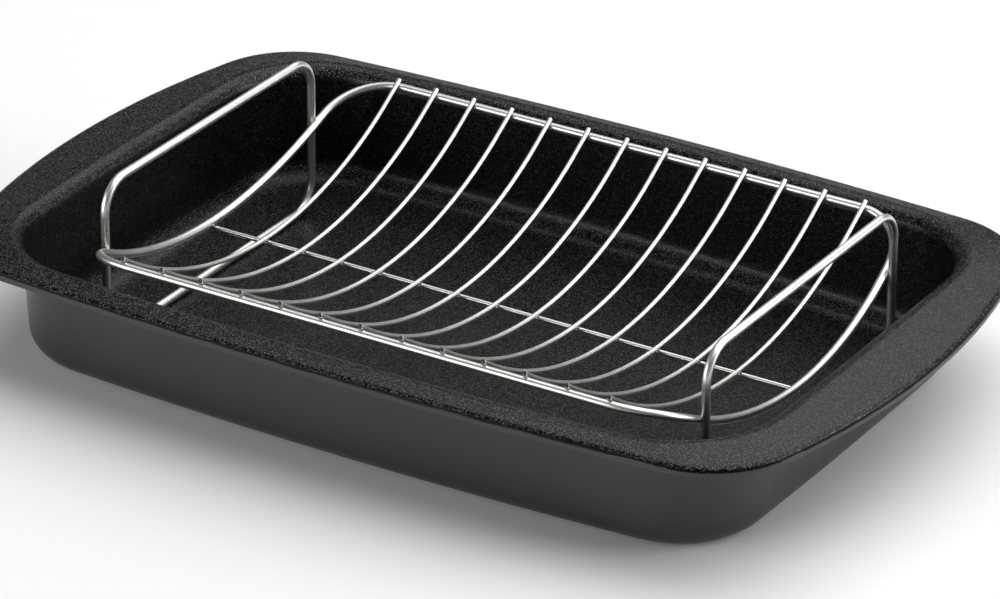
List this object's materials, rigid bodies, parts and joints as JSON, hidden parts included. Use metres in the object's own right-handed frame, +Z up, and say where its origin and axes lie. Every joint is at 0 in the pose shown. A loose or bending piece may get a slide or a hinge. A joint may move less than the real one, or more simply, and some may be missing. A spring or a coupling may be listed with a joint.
{
  "type": "roasting pan with rack",
  "caption": "Pressed steel roasting pan with bowed flanged rim, dark non-stick coating, and a lift-out curved rack of bright welded wire with upright handle loops.",
  "frame": {"origin": "on the table under the middle of the pan", "axes": "+X along the pan's length, +Y across it, +Z up"},
  "size_m": [0.454, 0.294, 0.083],
  "materials": {
    "non_stick_steel": "black speckled non-stick coating inside and on the rim, smooth satin dark grey outside",
    "bright_wire": "drawn wire with bright plating"
  },
  "bodies": {
    "pan": {"pan": "non_stick_steel"},
    "rack": {"rack_frame": "bright_wire", "cross_rib_01": "bright_wire", "cross_rib_02": "bright_wire", "cross_rib_03": "bright_wire", "cross_rib_04": "bright_wire", "cross_rib_05": "bright_wire", "cross_rib_06": "bright_wire", "cross_rib_07": "bright_wire", "cross_rib_08": "bright_wire", "cross_rib_09": "bright_wire", "cross_rib_10": "bright_wire", "cross_rib_11": "bright_wire", "cross_rib_12": "bright_wire", "cross_rib_13": "bright_wire", "centre_wire": "bright_wire", "left_handle_loop": "bright_wire", "right_handle_loop": "bright_wire"}
  },
  "joints": [
    {"name": "rack_lift", "type": "slide", "parent": "pan", "child": "rack", "axis": [0, 0, 1], "range_m": [0, 0.085]}
  ]
}
